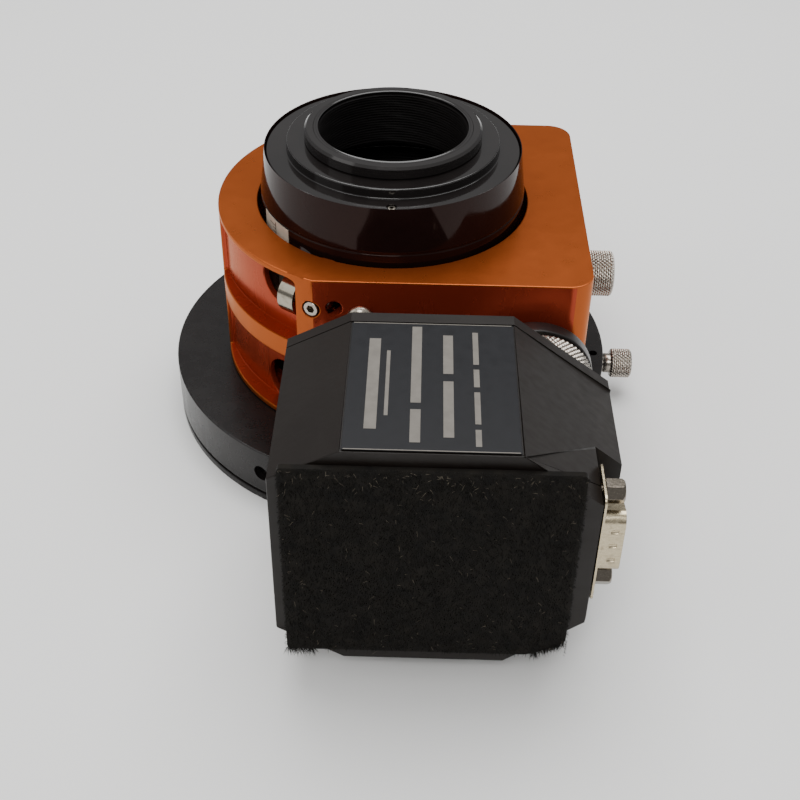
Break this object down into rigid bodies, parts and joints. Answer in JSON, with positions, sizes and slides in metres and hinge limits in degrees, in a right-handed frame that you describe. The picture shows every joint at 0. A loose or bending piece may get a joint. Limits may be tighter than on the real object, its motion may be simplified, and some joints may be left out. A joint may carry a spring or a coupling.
{
  "type": "motorised telescope focuser",
  "caption": "Round telescope focuser on a black flange: orange slotted body, black sliding drawtube with threaded adapter, drive knobs, and an angular motor box with a serial port on one side.",
  "frame": {"origin": "centre of the mounting flange's underside, on the optical axis", "axes": "+Z along the optical axis from the flange towards the camera side; the drive shaft runs along Y on the +X side; the motor box is on the -Y side"},
  "size_m": [0.1341, 0.1792, 0.0856],
  "materials": {
    "orange_anodised": "satin orange anodising",
    "black_anodised": "semi-gloss black anodising",
    "bright_steel": "bright machined and knurled steel",
    "nickel_plate": "warm nickel plating",
    "brass": "machined brass",
    "scale_tape": "matte off-white tape",
    "label_film": "matte blue-grey film",
    "hook_loop_pile": "fuzzy black loop pile",
    "circuit_board": "green solder mask",
    "black_plastic": "moulded black plastic"
  },
  "bodies": {
    "base": {"base_flange": "black_anodised", "flange_set_screw": "bright_steel"},
    "right_thumbscrew": {"flange_thumbscrew_right": "bright_steel"},
    "back_thumbscrew": {"flange_thumbscrew_back": "bright_steel"},
    "focuser": {"focuser_body": "orange_anodised", "body_spigot": "black_anodised", "front_face_screw": "bright_steel", "bearing_axle_1": "bright_steel", "bearing_axle_2": "bright_steel", "bearing_axle_3": "bright_steel", "bearing_axle_4": "bright_steel", "axle_lock_screw_1": "bright_steel", "axle_lock_screw_2": "bright_steel", "axle_lock_screw_3": "bright_steel", "axle_lock_screw_4": "bright_steel", "shaft_bush_front": "brass", "shaft_bush_back": "brass", "shaft_pressure_block": "black_plastic", "motor_back_plate": "black_anodised", "motor_cover": "black_anodised", "cover_label": "label_film", "hook_loop_pad": "hook_loop_pile", "cover_screw_1": "bright_steel", "cover_screw_2": "bright_steel", "cover_screw_3": "bright_steel", "cover_screw_4": "bright_steel", "mounting_post_1": "bright_steel", "mounting_post_2": "bright_steel", "mounting_post_3": "bright_steel", "mounting_post_4": "bright_steel", "motor_bracket": "bright_steel", "gearhead": "bright_steel", "stepper_motor": "bright_steel", "connector_shell": "nickel_plate", "connector_insulator": "black_plastic", "connector_jackscrew_upper": "nickel_plate", "connector_jackscrew_lower": "nickel_plate", "circuit_board": "circuit_board"},
    "drawtube": {"drawtube": "black_anodised", "drive_strip": "bright_steel", "scale_strip": "scale_tape", "thread_adapter": "black_anodised", "adapter_neck": "black_anodised", "adapter_set_screw": "bright_steel"},
    "drive_shaft": {"drive_shaft": "bright_steel", "front_knob": "bright_steel", "front_knob_collar": "black_plastic", "back_knob": "bright_steel", "back_knob_collar": "black_plastic", "clutch_gear": "brass", "clutch_hub": "bright_steel", "clutch_nut": "bright_steel", "clutch_spring": "bright_steel", "clutch_washer": "bright_steel"},
    "pinion": {"motor_pinion": "brass"},
    "bearing_front_upper": {"bearing_1": "bright_steel"},
    "bearing_front_lower": {"bearing_2": "bright_steel"},
    "bearing_back_upper": {"bearing_3": "bright_steel"},
    "bearing_back_lower": {"bearing_4": "bright_steel"},
    "tension_knob": {"tension_knob": "bright_steel"}
  },
  "joints": [
    {"name": "body_rotate", "type": "hinge", "parent": "base", "child": "focuser", "pos_m": [0, 0, 0.0095], "axis": [0, 0, 1], "range_deg": [-110, 50]},
    {"name": "right_thumbscrew_turn", "type": "hinge", "parent": "base", "child": "right_thumbscrew", "pos_m": [0.0654, 0, 0.0095], "axis": [1, 0, 0], "range_deg": [0, 720]},
    {"name": "back_thumbscrew_turn", "type": "hinge", "parent": "base", "child": "back_thumbscrew", "pos_m": [-0.0307, 0.05774, 0.0095], "axis": [-0.4695, 0.8829, 0], "range_deg": [0, 720]},
    {"name": "drawtube_slide", "type": "slide", "parent": "focuser", "child": "drawtube", "axis": [0, 0, 1], "range_m": [-0.004, 0.0214]},
    {"name": "shaft_spin", "type": "hinge", "parent": "focuser", "child": "drive_shaft", "pos_m": [0.0372, 0, 0.0412], "axis": [0, 1, 0], "range_deg": [-75, 396]},
    {"name": "pinion_spin", "type": "hinge", "parent": "focuser", "child": "pinion", "pos_m": [0.0204, -0.0738, 0.0412], "axis": [0, 1, 0], "range_deg": [-792, 149]},
    {"name": "bearing_front_upper_roll", "type": "hinge", "parent": "focuser", "child": "bearing_front_upper", "pos_m": [-0.02309, -0.03424, 0.0553], "axis": [0.829, -0.5592, 0], "range_deg": [-42, 224]},
    {"name": "bearing_front_lower_roll", "type": "hinge", "parent": "focuser", "child": "bearing_front_lower", "pos_m": [-0.02309, -0.03424, 0.0269], "axis": [0.829, -0.5592, 0], "range_deg": [-42, 224]},
    {"name": "bearing_back_upper_roll", "type": "hinge", "parent": "focuser", "child": "bearing_back_upper", "pos_m": [-0.02309, 0.03424, 0.0553], "axis": [0.829, 0.5592, 0], "range_deg": [-224, 42]},
    {"name": "bearing_back_lower_roll", "type": "hinge", "parent": "focuser", "child": "bearing_back_lower", "pos_m": [-0.02309, 0.03424, 0.0269], "axis": [0.829, 0.5592, 0], "range_deg": [-224, 42]},
    {"name": "tension_knob_turn", "type": "hinge", "parent": "focuser", "child": "tension_knob", "pos_m": [0.054, 0, 0.0412], "axis": [1, 0, 0], "range_deg": [0, 360]}
  ],
  "couplings": [
    {"joint": "shaft_spin", "follows": "drawtube_slide", "rad_per_m": 322.58},
    {"joint": "pinion_spin", "follows": "drawtube_slide", "rad_per_m": -645.16},
    {"joint": "bearing_front_upper_roll", "follows": "drawtube_slide", "rad_per_m": 181.82},
    {"joint": "bearing_front_lower_roll", "follows": "drawtube_slide", "rad_per_m": 181.82},
    {"joint": "bearing_back_upper_roll", "follows": "drawtube_slide", "rad_per_m": -181.82},
    {"joint": "bearing_back_lower_roll", "follows": "drawtube_slide", "rad_per_m": -181.82}
  ]
}
